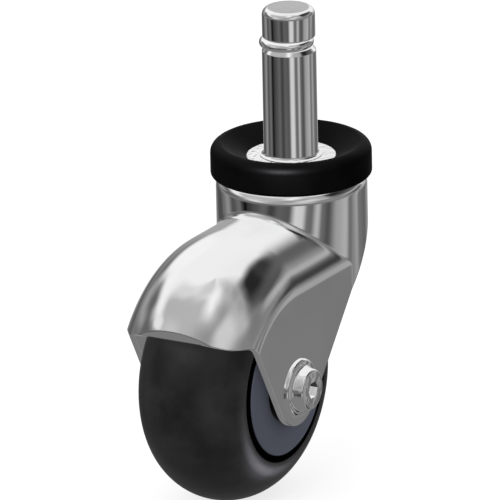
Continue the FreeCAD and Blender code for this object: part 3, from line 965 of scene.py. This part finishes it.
@dataclass
class AxleAssembly(SubAssembly):
    """The axle: a barrel and a screw, each with a stepped socket head."""

    body: Body = Body.HOOD
    leg_face: float = 15.3
    flange: float = 6.1
    flange_face: float = 16.35
    head_face: float = 18.7
    head_radii: tuple[float, float] = (4.6, 4.15)
    face_inner: float = 2.6
    socket_flats: float = 3.2
    socket_depth: float = 2.0
    screw_radius: float = 2.95
    screw_end: float = -12.0
    barrel_radius: float = 4.0
    barrel_end: float = -15.2
    thread_radius: float = 3.0
    thread_end: float = 13.0

    def head(self) -> list[Corner]:
        """Draw the outline that the two heads share, from flange to socket.

        Returns:
            The outline's corners.
        """
        root, edge = self.head_radii
        return [Corner(self.flange, self.leg_face),
                Corner(self.flange, self.flange_face, 0.85),
                Corner(root, self.flange_face, 0.6),
                Corner(edge, self.head_face, 0.6),
                Corner(self.face_inner, self.head_face)]

    def cut_socket(self, bm: bmesh.types.BMesh) -> None:
        """Close the head's face round a hexagon socket.

        Args:
            bm: The turned head, open inside the face's inner edge.
        """
        rim = [e for e in bm.edges if e.is_boundary
               and all(abs(v.co.z - self.head_face) < 1e-3 for v in e.verts)]
        inner = bmesh.ops.extrude_edge_only(bm, edges=rim)["geom"]
        verts = [g for g in inner if isinstance(g, bmesh.types.BMVert)]
        apothem = self.socket_flats / 2.0
        for vert in verts:
            angle = math.atan2(vert.co.y, vert.co.x)
            wedge = (angle % math.radians(60.0)) - math.radians(30.0)
            reach = apothem / math.cos(wedge)
            vert.co.x, vert.co.y = reach * math.cos(angle), reach * math.sin(angle)
        lip = [g for g in inner if isinstance(g, bmesh.types.BMEdge) and g.is_boundary]
        walls = bmesh.ops.extrude_edge_only(bm, edges=lip)["geom"]
        foot = [g for g in walls if isinstance(g, bmesh.types.BMVert)]
        bmesh.ops.translate(bm, verts=foot, vec=(0.0, 0.0, -self.socket_depth))
        base = [g for g in walls
                if isinstance(g, bmesh.types.BMEdge) and g.is_boundary]
        bmesh.ops.contextual_create(bm, geom=base)

    def turned(self, name: str, shank: Sequence[Corner], lay: Lay) -> bpy.types.Object:
        """Turn one half of the axle and cut its socket.

        Args:
            name: The piece's name.
            shank: The outline from the shank's middle to the head.
            lay: The side it comes in from.

        Returns:
            The finished piece.
        """
        bm = TurnedPiece(name, [*shank, *self.head()], steps=180, arc_steps=6,
                         open_end=True).turn()
        self.cut_socket(bm)
        return finish_mesh(bm, name, lay_matrix(lay))

    def screw(self) -> bpy.types.Object:
        """Make the screw, which comes in from the -Y side."""
        shank = [Corner(0.0, self.screw_end),
                 Corner(self.screw_radius, self.screw_end, 0.5),
                 Corner(self.screw_radius, self.leg_face)]
        return self.turned("axle_screw_turned", shank, Lay.RIGHT)

    def barrel(self) -> bpy.types.Object:
        """Make the barrel that the wheel turns on, from the +Y side."""
        shank = [Corner(0.0, self.thread_end),
                 Corner(self.thread_radius, self.thread_end),
                 Corner(self.thread_radius, self.barrel_end),
                 Corner(self.barrel_radius, self.barrel_end),
                 Corner(self.barrel_radius, self.leg_face)]
        return self.turned("axle_barrel_turned", shank, Lay.LEFT)

    def build(self) -> None:
        """Build and fit the axle on the hood's body."""
        self.fit(self.screw(), Slot.AXLE, "axle_screw")
        self.fit(self.barrel(), Slot.AXLE, "axle_barrel")


@dataclass
class WheelAssembly(SubAssembly):
    """The wheel: a plastic core, its soft tyre and two flanged bushes."""

    body: Body = Body.WHEEL
    tyre_radius: float = 25.4
    tyre_half: float = 12.2
    shelf_radius: float = 15.9
    shoulder: float = 6.0
    core_radius: float = 14.57
    core_half: float = 12.6
    core_bore: float = 5.42
    core_bevel: float = 0.3
    ridge_radius: float = 17.0
    ridge_half: float = 9.5
    groove_depth: float = 1.0
    groove_edge: float = 0.12
    groove_foot: float = 0.3
    bush_bore: float = 4.06
    bush_sleeve: float = 5.4
    bush_flange: float = 7.5
    bush_inner_end: float = 0.5
    bush_outer_end: float = 13.95

    def tyre(self) -> bpy.types.Object:
        """Turn the tyre: a wide crown arc between two shoulder arcs.

        Returns:
            The finished tyre.
        """
        rise = self.tyre_radius - self.shelf_radius
        small, half = self.shoulder, self.tyre_half
        crown = (half * half + rise * rise - 2 * half * small) / (2 * (rise - small))
        lean = math.atan2(half - small, self.shelf_radius - self.tyre_radius + crown)
        bm = bmesh.new()
        pen = bm.verts.new((self.shelf_radius, 0.0, -half))
        centre = Vector((self.shelf_radius, 0.0, small - half))
        pen = self.sweep(bm, pen, centre, math.pi / 2 - lean, 20)
        pen = self.sweep(bm, pen, Vector((self.tyre_radius - crown, 0.0, 0.0)),
                         2 * lean, 44)
        centre = Vector((self.shelf_radius, 0.0, half - small))
        pen = self.sweep(bm, pen, centre, math.pi / 2 - lean, 20)
        deep = half - self.groove_depth
        right = [(self.shelf_radius - self.groove_edge, half),
                 (self.shelf_radius - self.groove_foot, deep),
                 (self.core_radius, deep), (self.core_radius, self.ridge_half),
                 (self.ridge_radius, self.ridge_half)]
        inside = [*right, *((radius, -height) for radius, height in reversed(right)),
                  (self.shelf_radius, -half)]
        for radius, height in inside:
            grown = bmesh.ops.extrude_vert_indiv(bm, verts=[pen])
            pen = grown["verts"][0]
            pen.co = Vector((radius, 0.0, height))
        bmesh.ops.remove_doubles(bm, verts=bm.verts[:], dist=WELD)
        bmesh.ops.spin(
            bm, geom=bm.verts[:] + bm.edges[:], cent=(0.0, 0.0, 0.0),
            axis=(0.0, 0.0, 1.0), angle=math.tau, steps=224, use_merge=True)
        return finish_mesh(bm, "tyre_moulded", lay_matrix(Lay.LEFT))

    @staticmethod
    def sweep(bm: bmesh.types.BMesh, pen: bmesh.types.BMVert, centre: Vector,
              angle: float, steps: int) -> bmesh.types.BMVert:
        """Draw an arc from a point of an outline.

        Args:
            bm: The outline.
            pen: The point it starts from.
            centre: The arc's centre.
            angle: How far it turns, in radians.
            steps: How many edges it gets.

        Returns:
            The point it ends at.
        """
        drawn = bmesh.ops.spin(bm, geom=[pen], cent=centre, axis=(0.0, -1.0, 0.0),
                               angle=angle, steps=steps)
        return next(g for g in drawn["geom_last"]
                    if isinstance(g, bmesh.types.BMVert))

    def core(self) -> bpy.types.Object:
        """Turn the core with its bevelled rim.

        Returns:
            The finished core.
        """
        half, rim, bevel = self.core_half, self.core_radius, self.core_bevel
        top, ridge = self.ridge_radius, self.ridge_half
        return TurnedPiece("wheel_core_moulded", [
            Corner(self.core_bore, -half), Corner(rim - bevel, -half, 0.08),
            Corner(rim, bevel - half, 0.08), Corner(rim, -ridge),
            Corner(top, -ridge), Corner(top, ridge), Corner(rim, ridge),
            Corner(rim, half - bevel, 0.08), Corner(rim - bevel, half, 0.08),
            Corner(self.core_bore, half)],
            lay=Lay.LEFT, steps=224, arc_steps=4).build()

    def bush(self, name: str, lay: Lay) -> bpy.types.Object:
        """Turn one flanged bush on its side of the wheel.

        Args:
            name: The piece's name.
            lay: Its side.

        Returns:
            The finished bush.
        """
        start, end = self.bush_inner_end, self.bush_outer_end
        return TurnedPiece(name, [
            Corner(self.bush_bore, start), Corner(self.bush_sleeve, start),
            Corner(self.bush_sleeve, self.core_half),
            Corner(self.bush_flange, self.core_half),
            Corner(self.bush_flange, end, 0.25), Corner(self.bush_bore, end)],
            lay=lay, steps=128).build()

    def build(self) -> None:
        """Build and fit the wheel's pieces."""
        self.fit(self.core(), Slot.CORE, "wheel_core")
        self.fit(self.tyre(), Slot.TYRE, "tyre")
        self.fit(self.bush("hub_bush_left_turned", Lay.LEFT), Slot.BUSH,
                 "hub_bush_left")
        self.fit(self.bush("hub_bush_right_turned", Lay.RIGHT), Slot.BUSH,
                 "hub_bush_right")


# --------------------------------------------------------------------- studio


@dataclass(frozen=True)
class PhotoCamera:
    """The photograph's camera: its angle, distance and the width it takes in."""

    azimuth: float = -59.657741
    elevation: float = 18.570185
    roll: float = 1.137764
    distance: float = 4.0
    across: float = -8.374698
    above: float = -19.532674
    lift: float = -0.115
    width: float = 102.0430
    sensor: float = 36.0

    def axes(self) -> tuple[Vector, Vector, Vector]:
        """Work out how the camera is turned.

        Returns:
            The image's right, its up, and the way the camera looks.
        """
        a, e, r = (math.radians(x) for x in (self.azimuth, self.elevation, self.roll))
        look = Vector((-math.sin(a) * math.cos(e), math.cos(a) * math.cos(e),
                       -math.sin(e)))
        right = Vector((math.cos(a), math.sin(a), 0.0))
        up = right.cross(look)
        return (right * math.cos(r) - up * math.sin(r),
                right * math.sin(r) + up * math.cos(r), look)

    def compass(self) -> tuple[Vector, Vector]:
        """Find the level directions that the studio is laid out by.

        Returns:
            The way back to the camera, and the way to the image's right.
        """
        right, _, look = self.axes()
        return (Vector((-look.x, -look.y, 0.0)).normalized(),
                Vector((right.x, right.y, 0.0)).normalized())

    def build(self) -> bpy.types.Object:
        """Make the camera and set it as the scene's own.

        Returns:
            The camera.
        """
        right, up, look = self.axes()
        aim = right * self.across + up * self.above + Vector((0.0, 0.0, self.lift))
        place = aim * MM - look * self.distance
        data = bpy.data.cameras.new("photo_camera")
        data.sensor_width = self.sensor
        data.lens = self.sensor * self.distance / (self.width * MM)
        data.clip_start, data.clip_end = 0.1, 60.0
        camera = bpy.data.objects.new("photo_camera", data)
        frame = Matrix((right, up, -look)).transposed().to_4x4()
        frame.translation = place
        camera.matrix_world = frame
        bpy.context.scene.collection.objects.link(camera)
        bpy.context.scene.camera = camera
        return camera


@dataclass(frozen=True)
class Panel:
    """One soft-edged panel of the room that polished metal mirrors.

    Its azimuth goes round the castor from the camera's side, positive to the
    camera's right, and its elevation goes up from the horizon. All its angles
    are in degrees, with its tilt. The level is its brightness, where 1 is white.
    A panel with a half width of 180 or more goes all round.
    """

    azimuth: float
    elevation: float
    half_width: float
    half_height: float
    edge: float
    level: float
    tilt: float = 0.0

    def paint(self, graph: Graph, azimuth: bpy.types.NodeSocket,
              elevation: bpy.types.NodeSocket,
              under: object) -> bpy.types.NodeSocket:
        """Lay the panel over what was painted before it.

        Args:
            graph: The room's graph.
            azimuth: The direction's azimuth, in degrees.
            elevation: The direction's elevation, in degrees.
            under: The level so far.

        Returns:
            The level with the panel on it.
        """
        wide, tall = self.half_width + self.edge / 2, self.half_height + self.edge / 2
        rise = graph.maths("SUBTRACT", elevation, self.elevation)
        small = tall
        if self.half_width < 180.0:
            turn = graph.maths("WRAP", graph.maths("SUBTRACT", azimuth, self.azimuth),
                               180.0, third=-180.0)
            lean = math.radians(self.tilt)
            turn, rise = (
                graph.maths("MULTIPLY_ADD", rise, math.sin(lean),
                            third=graph.maths("MULTIPLY", turn, math.cos(lean))),
                graph.maths("MULTIPLY_ADD", turn, -math.sin(lean),
                            third=graph.maths("MULTIPLY", rise, math.cos(lean))))
            across = graph.maths("DIVIDE", graph.maths("ABSOLUTE", turn), wide)
            reach = graph.maths("DIVIDE", graph.maths("ABSOLUTE", rise), tall)
            cubes = graph.maths("ADD", graph.maths("POWER", across, 3.0),
                                graph.maths("POWER", reach, 3.0))
            reach, small = graph.maths("POWER", cubes, 1.0 / 3.0), min(wide, tall)
        else:
            reach = graph.maths("DIVIDE", graph.maths("ABSOLUTE", rise), tall)
        fade = self.edge / small / 2
        share = graph.smooth(reach, 1.0 - fade, 1.0 + fade, 1.0, 0.0)
        return graph.blend_values(share, under, self.level)


@dataclass(frozen=True)
class Gleam:
    """A small bright disc that one piece alone shines with.

    Its turn goes round the castor from the camera's side and its rise goes up
    from the horizon, both in degrees, as does its spread, which is half of its
    width. Its reach is how far off it hangs, in metres.
    """

    piece: str
    turn: float
    rise: float
    spread: float
    level: float
    reach: float = 1.0
    tint: tuple[float, float, float] = (0.93, 0.9, 1.0)


def hang(bm: bmesh.types.BMesh, name: str, material: bpy.types.Material,
         *unseen_by: str) -> bpy.types.Object:
    """Add a piece of the studio to the scene.

    Args:
        bm: Its shape, in metres. It is freed.
        name: Its name.
        material: Its finish.
        *unseen_by: The kinds of ray that pass it by.

    Returns:
        The new object.
    """
    mesh = bpy.data.meshes.new(name)
    bm.to_mesh(mesh)
    bm.free()
    mesh.materials.append(material)
    piece = bpy.data.objects.new(name, mesh)
    bpy.context.scene.collection.objects.link(piece)
    for ray in unseen_by:
        setattr(piece, f"visible_{ray}", False)
    return piece


@dataclass
class Studio:
    """A pale room: white floor and sky, and the walls that chrome mirrors."""

    camera: PhotoCamera
    floor_height: float = -65.8
    floor_size: float = 12.0
    floor_tone: float = 0.35
    floor_glow: float = 0.76
    light_level: float = 0.8
    wall_radius: float = 8.0
    sky: float = 0.95
    gleams: tuple[Gleam, ...] = (
        Gleam("tyre_moulded", 106.0, -41.0, 11.0, 7.0),
        Gleam("dust_ring_turned", -16.0, 25.0, 15.0, 220.0, 9.0),
    )
    strips: tuple[tuple[float, float], ...] = (
        (-171, 0.42), (-160, 0.19), (-149, 0.088), (-139, 0.078), (-128, 0.17),
        (-115, 0.3), (-102, 0.088), (-87, 0.165), (-80, 0.042), (-75, 0), (-70, 0.042),
        (-58, 0.08), (-43, 0.13), (-31, 0.056), (-18, 0.12), (-4, 0.1), (8, 0.69),
        (16, 0.66), (25, 0.17), (30, 0.15), (40, 0.5), (48, 0.15), (57, 0.085),
        (74, 0.36), (90, 0.45), (99, 0.16), (111, 0.32), (123, 0.175), (142, 0.13),
        (160, 0.3), (172, 0.5))
    upper: tuple[Panel, ...] = (
        Panel(10, 29.1, 115, 37.2, 7, 0.501, -1),
        Panel(46, 61.9, 17, 4.7, 28, 0.485, 3), Panel(1, 35.5, 18, 2.5, 16, 0.317, 2),
        Panel(9, 66.4, 17, 3.3, 16, 1, 5), Panel(26, 51.3, 4.3, 1, 24, 0.35, 12),
        Panel(-117, 27.3, 19, 6.6, 10, 0.995, -11), Panel(0, 3.7, 400, 9.8, 21, 0.536),
        Panel(-122, 9.7, 42, 6.1, 13, 0.137, 1), Panel(-135, 13.6, 11, 6, 8, 0.355, 15),
        Panel(186, 27, 33, 7.9, 8, 0.936, 40), Panel(84, 10.9, 48, 11.6, 8, 0.251, -2),
        Panel(-62, 20.5, 7.8, 1.3, 10, 0.829, -11),
        Panel(-23, 18.8, 10, 2.1, 9, 0.333, 4), Panel(101, 37.2, 31, 8.5, 8, 0.086, -4),
        Panel(95, 49.9, 19, 5.3, 11, 0.021, -4),
        Panel(126, 32.9, 12, 1.2, 13, 0.117, -22),
        Panel(110, 19.5, 23, 0.6, 4, 0.453, -8), Panel(74, 22.9, 2.7, 2, 14, 0.212, -7),
        Panel(115, 10.7, 15, 0.6, 6, 0.053, 6), Panel(-2, 8.1, 69, 1.1, 3, 0.428),
        Panel(-32, 80.9, 34, 4.8, 14, 0.67, 13),
        Panel(-126, 20.6, 4.8, 1.4, 10, 0.142, 10),
        Panel(150, 19.9, 12, 9.2, 7, 0.975, -4), Panel(60, 47.1, 2.5, 1.5, 8, 0.389, 2),
        Panel(-92, 59.8, 16, 2.1, 10, 0.739, 25),
        Panel(-156, 32.1, 11, 10.5, 10, 0.985, 3),
        Panel(117, 45.3, 5.4, 2, 12, 0.041, -16),
        Panel(60, 59.1, 4.5, 1.3, 8, 0.362, 5),
        Panel(-94, 27.9, 6.6, 2.2, 4, 0.867, 12), Panel(-69, 32, 8, 2.2, 12, 0.604, 11),
        Panel(26, 35.4, 14, 4.9, 11, 0.676, 19))
    lower: tuple[Panel, ...] = (
        Panel(0, -62, 400, 28, 12, 0.22), Panel(-154, -3.9, 14, 1.2, 5, 0.11),
        Panel(115, -8.2, 2, 7.8, 3, 0.4), Panel(-18, 0.3, 88, 2.5, 9, 0.152),
        Panel(95, -48, 14, 7, 7, 0.5))

    def wall_strips(self, graph: Graph,
                    azimuth: bpy.types.NodeSocket) -> bpy.types.NodeSocket:
        """Lay upright strips round the walls, each fading into the next.

        Args:
            graph: The room's graph.
            azimuth: The direction's azimuth, in degrees.

        Returns:
            The strips' level.
        """
        node = graph.add("ShaderNodeValToRGB")
        ramp = node.color_ramp
        ramp.interpolation = "EASE"
        stops = [((angle + 180.0) / 360.0, level) for angle, level in self.strips]
        first, last = ramp.elements[0], ramp.elements[-1]
        first.position, first.color = stops[0][0], grey(stops[0][1])
        last.position, last.color = stops[-1][0], grey(stops[-1][1])
        for position, level in stops[1:-1]:
            ramp.elements.new(position).color = grey(level)
        graph.feed(node.inputs["Fac"], graph.maths(
            "MULTIPLY_ADD", azimuth, 1.0 / 360.0, third=0.5))
        return node.outputs["Color"]

    def walls(self) -> None:
        """Hang the room's panels on a wide shell that only mirrors see."""
        bm = bmesh.new()
        bmesh.ops.create_uvsphere(bm, u_segments=48, v_segments=24,
                                  radius=self.wall_radius)
        bmesh.ops.reverse_faces(bm, faces=bm.faces[:])
        shell = hang(bm, "studio_walls", self.wall_material(), "camera", "diffuse",
                     "transmission", "shadow", "volume_scatter")
        shell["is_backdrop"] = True

    def wall_material(self) -> bpy.types.Material:
        """Paint the strips low on the walls and the panels above them.

        Returns:
            The walls' material.
        """
        material, graph = new_material("studio_wall_panels")
        back, side = self.camera.compass()
        place = graph.add("ShaderNodeTexCoord")
        unit = graph.add("ShaderNodeVectorMath", operation="NORMALIZE")
        graph.feed(unit.inputs[0], place.outputs["Object"])
        way = unit.outputs["Vector"]
        azimuth = graph.maths("DEGREES", graph.maths(
            "ARCTAN2", graph.dot(way, side), graph.dot(way, back)))
        elevation = graph.maths("DEGREES", graph.maths("ARCSINE", graph.dot(way, UP)))
        above: object = self.sky
        for panel in self.upper:
            above = panel.paint(graph, azimuth, elevation, above)
        level = graph.blend_values(graph.smooth(elevation, -9.0, -1.0),
                                   self.wall_strips(graph, azimuth), above)
        for panel in self.lower:
            level = panel.paint(graph, azimuth, elevation, level)
        glow = graph.add("ShaderNodeEmission")
        graph.feed(glow.inputs["Color"], level)
        graph.show(glow.outputs[0])
        return material

    def world(self) -> None:
        """Light the castor evenly, before a background of plain white."""
        world = bpy.data.worlds.new("studio_light")
        bpy.context.scene.world = world
        world.use_nodes = True
        graph = Graph(world.node_tree)
        rays = graph.add("ShaderNodeLightPath")
        seen = graph.maths("ADD", rays.outputs["Is Camera Ray"],
                           rays.outputs["Is Glossy Ray"])
        seen = graph.maths("ADD", seen, rays.outputs["Is Transmission Ray"], clamp=True)
        even = graph.add("ShaderNodeBackground")
        even.inputs["Color"].default_value = grey(1.0)
        even.inputs["Strength"].default_value = self.light_level
        white = graph.add("ShaderNodeBackground")
        white.inputs["Color"].default_value = grey(1.0)
        both = graph.add("ShaderNodeMixShader")
        graph.feed(both.inputs[0], seen)
        graph.feed(both.inputs[1], even.outputs[0])
        graph.feed(both.inputs[2], white.outputs[0])
        graph.show(both.outputs[0], "ShaderNodeOutputWorld")

    def floor(self) -> None:
        """Lay a white floor under the wheel that keeps a faint shadow."""
        bm = bmesh.new()
        bmesh.ops.create_grid(bm, x_segments=1, y_segments=1, size=self.floor_size / 2)
        bmesh.ops.translate(bm, verts=bm.verts[:],
                            vec=(0.0, 0.0, self.floor_height * MM))
        material, graph = new_material("floor_white")
        matt = graph.add("ShaderNodeBsdfDiffuse")
        matt.inputs["Color"].default_value = grey(self.floor_tone)
        glow = graph.add("ShaderNodeEmission")
        glow.inputs["Color"].default_value = grey(1.0)
        glow.inputs["Strength"].default_value = self.floor_glow
        rays = graph.add("ShaderNodeLightPath")
        both = graph.add("ShaderNodeAddShader")
        graph.feed(both.inputs[0], matt.outputs[0])
        graph.feed(both.inputs[1], glow.outputs[0])
        pick = graph.add("ShaderNodeMixShader")
        graph.feed(pick.inputs[0], rays.outputs["Is Camera Ray"])
        graph.feed(pick.inputs[1], matt.outputs[0])
        graph.feed(pick.inputs[2], both.outputs[0])
        graph.show(pick.outputs[0])
        floor = hang(bm, "floor", material, "glossy")
        floor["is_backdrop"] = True

    def gleam(self, plan: Gleam) -> None:
        """Hang a small bright disc whose light falls on one piece alone.

        Args:
            plan: The disc's place and level, and the piece that shines with it.
        """
        back, side = self.camera.compass()
        turn, rise = (math.radians(angle) for angle in (plan.turn, plan.rise))
        way = (back * math.cos(turn) + side * math.sin(turn)) * math.cos(rise)
        way.z = math.sin(rise)
        name = f"gleam_on_{plan.piece}"
        material, graph = new_material(name)
        glow = graph.add("ShaderNodeEmission")
        glow.inputs["Color"].default_value = (*plan.tint, 1.0)
        glow.inputs["Strength"].default_value = plan.level
        graph.show(glow.outputs[0])
        bm = bmesh.new()
        radius = plan.reach * math.tan(math.radians(plan.spread))
        bmesh.ops.create_circle(bm, cap_ends=True, segments=32, radius=radius)
        panel = hang(bm, name, material, "camera", "diffuse", "transmission",
                     "shadow", "volume_scatter")
        panel.location = way * plan.reach
        panel.rotation_mode = "QUATERNION"
        panel.rotation_quaternion = way.to_track_quat("Z", "Y")
        only = bpy.data.collections.new(name)
        only.objects.link(bpy.data.objects[plan.piece])
        panel.light_linking.receiver_collection = only
        panel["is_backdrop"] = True

    def lamp(self, name: str, power: float, size: float, way: Vector,
             distance: float = 0.6) -> None:
        """Hang one soft lamp that looks at the castor.

        Args:
            name: The lamp's name.
            power: Its power in watts.
            size: Its side in metres.
            way: The direction from the castor to the lamp.
            distance: How far off it hangs, in metres.
        """
        data = bpy.data.lights.new(name, "AREA")
        data.energy, data.size = power, size
        lamp = bpy.data.objects.new(name, data)
        middle = Vector((-10.0, 0.0, -18.0)) * MM
        lamp.location = middle + way.normalized() * distance
        lamp.rotation_mode = "QUATERNION"
        lamp.rotation_quaternion = way.to_track_quat("Z", "Y")
        lamp.visible_glossy = False
        bpy.context.scene.collection.objects.link(lamp)

    def build(self) -> None:
        """Build the whole studio."""
        scene = bpy.context.scene
        scene.view_settings.view_transform = "Standard"
        self.world()
        self.walls()
        self.floor()
        for plan in self.gleams:
            self.gleam(plan)
        back, side = self.camera.compass()
        self.lamp("key_lamp", 1.2, 0.5, back * 0.7 - side * 0.5 + Vector((0, 0, 1.0)))


def main() -> None:
    """Load the frame and build the castor and its studio."""
    logging.basicConfig(level=logging.INFO, format="%(name)s: %(message)s")
    for unwanted in list(bpy.data.objects):
        bpy.data.objects.remove(unwanted, do_unlink=True)
    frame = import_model()
    solids = [corner.copy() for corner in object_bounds()]
    finishes = Finishes()
    finishes.build()
    for assembly in (StemAssembly, HoodAssembly, AxleAssembly, WheelAssembly):
        assembly(frame, finishes).build()
    camera = PhotoCamera()
    camera.build()
    Studio(camera).build()


if __name__ == "__main__":
    main()
